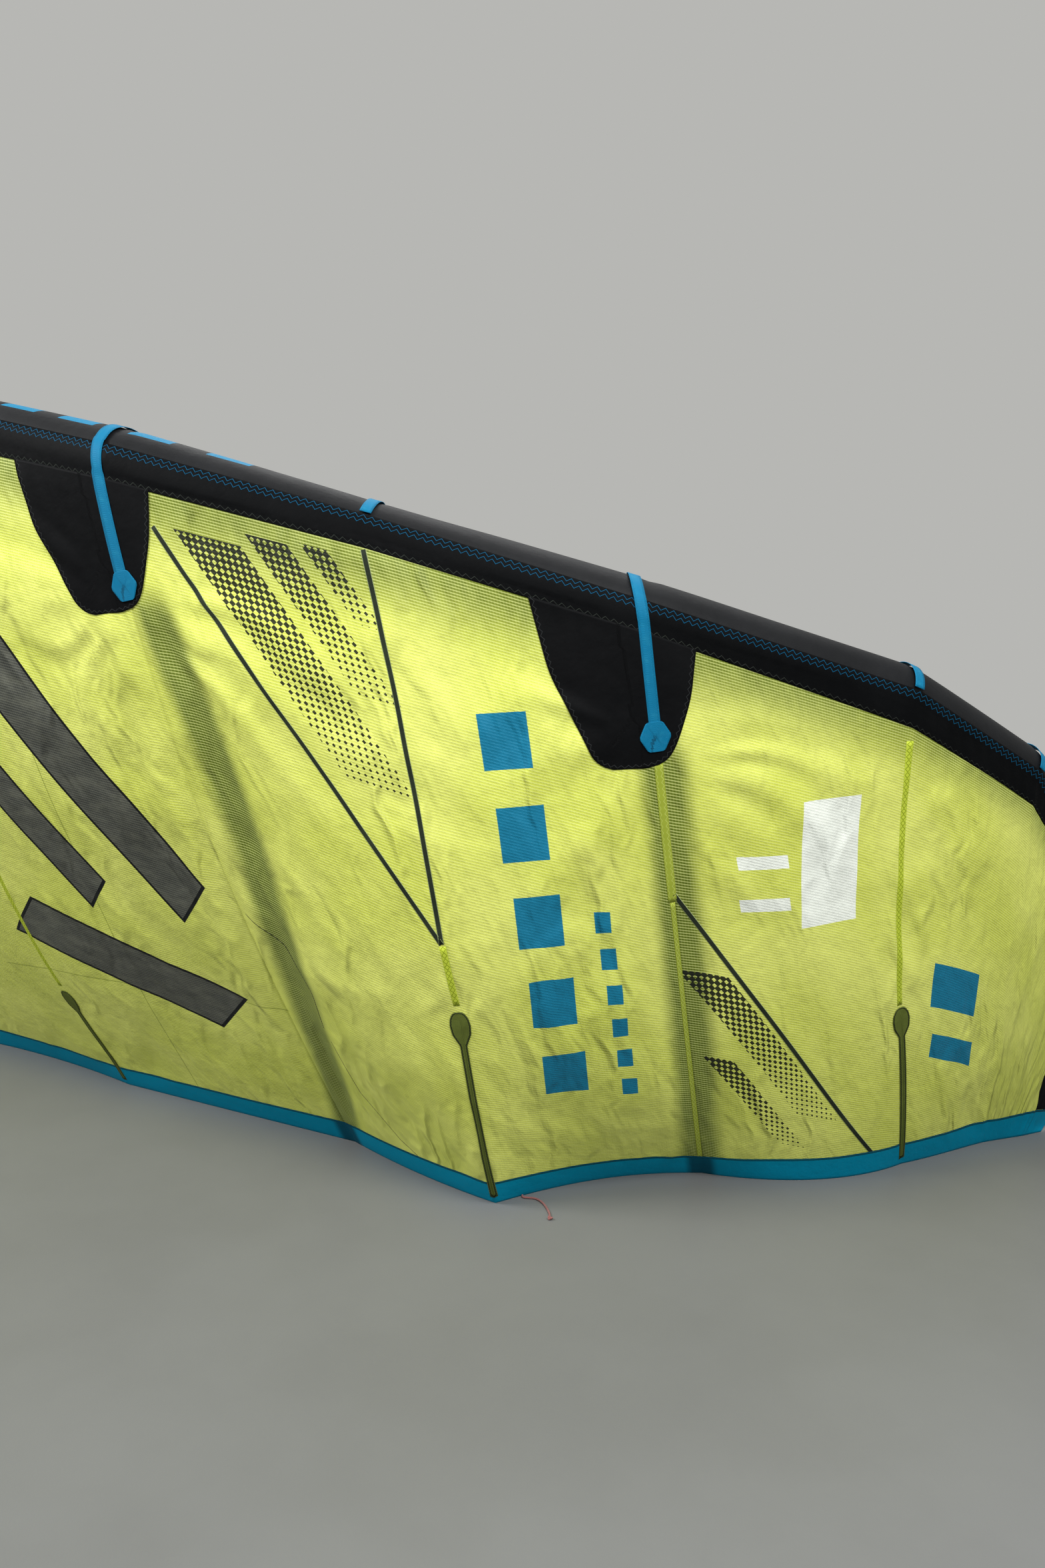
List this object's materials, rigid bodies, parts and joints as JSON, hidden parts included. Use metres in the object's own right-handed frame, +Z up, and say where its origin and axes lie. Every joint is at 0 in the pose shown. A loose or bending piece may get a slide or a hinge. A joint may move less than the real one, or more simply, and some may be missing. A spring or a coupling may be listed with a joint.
{
  "type": "inflated kitesurfing kite",
  "caption": "Inflated kitesurfing kite standing on its trailing edge: lime canopy, black leading-edge tube, struts, blue straps and a blue trailing-edge band.",
  "frame": {"origin": "middle of the kite's extent, on the floor it stands on", "axes": "+Z up from the trailing edge to the leading-edge tube, +X towards the right wing tip, the outer side of the canopy faces -Y"},
  "size_m": [6.3722, 2.3624, 2.0017],
  "materials": {
    "canopy_cloth": "lime ripstop cloth with a slight sheen",
    "black_cloth": "matt black reinforcing cloth",
    "tube_cloth": "dark grey woven polyester, satin",
    "edge_cloth": "blue reinforcing cloth",
    "webbing": "blue woven webbing",
    "batten_cloth": "dark olive cloth pocket",
    "cord": "red braided cord"
  },
  "bodies": {
    "root": {"nose_tube_left_1": "tube_cloth", "nose_tube_left_2": "tube_cloth", "nose_tube_left_3": "tube_cloth", "nose_tube_left_4": "tube_cloth", "nose_tube_left_5": "tube_cloth", "nose_tube_left_6": "tube_cloth", "nose_tube_left_7": "tube_cloth", "nose_tube_left_8": "tube_cloth", "canopy_inner_left": "canopy_cloth", "canopy_middle_left": "canopy_cloth", "canopy_outer_left": "canopy_cloth", "canopy_tip_left": "black_cloth", "nose_strip_left": "black_cloth", "edge_band_left": "edge_cloth", "tube_band_left_a": "webbing", "tube_band_left_b": "webbing", "tube_band_left_c": "webbing", "tube_band_left_d": "webbing", "batten_left_a": "batten_cloth", "batten_left_b": "batten_cloth", "batten_left_c": "batten_cloth", "strut_patch_left_inner": "black_cloth", "strap_left_inner": "webbing", "strut_left_inner": "tube_cloth", "strut_patch_left_outer": "black_cloth", "strap_left_outer": "webbing", "strut_left_outer": "tube_cloth", "nose_tube_right_1": "tube_cloth", "nose_tube_right_2": "tube_cloth", "nose_tube_right_3": "tube_cloth", "nose_tube_right_4": "tube_cloth", "nose_tube_right_5": "tube_cloth", "nose_tube_right_6": "tube_cloth", "nose_tube_right_7": "tube_cloth", "nose_tube_right_8": "tube_cloth", "canopy_inner_right": "canopy_cloth", "canopy_middle_right": "canopy_cloth", "canopy_outer_right": "canopy_cloth", "canopy_tip_right": "black_cloth", "nose_strip_right": "black_cloth", "edge_band_right": "edge_cloth", "tube_band_right_a": "webbing", "tube_band_right_b": "webbing", "tube_band_right_c": "webbing", "tube_band_right_d": "webbing", "batten_right_a": "batten_cloth", "batten_right_b": "batten_cloth", "batten_right_c": "batten_cloth", "strut_patch_right_inner": "black_cloth", "strap_right_inner": "webbing", "strut_right_inner": "tube_cloth", "strut_patch_right_outer": "black_cloth", "strap_right_outer": "webbing", "strut_right_outer": "tube_cloth", "strut_patch_mid": "black_cloth", "strap_mid": "webbing", "strut_mid": "tube_cloth", "cord_end": "cord"}
  },
  "joints": []
}
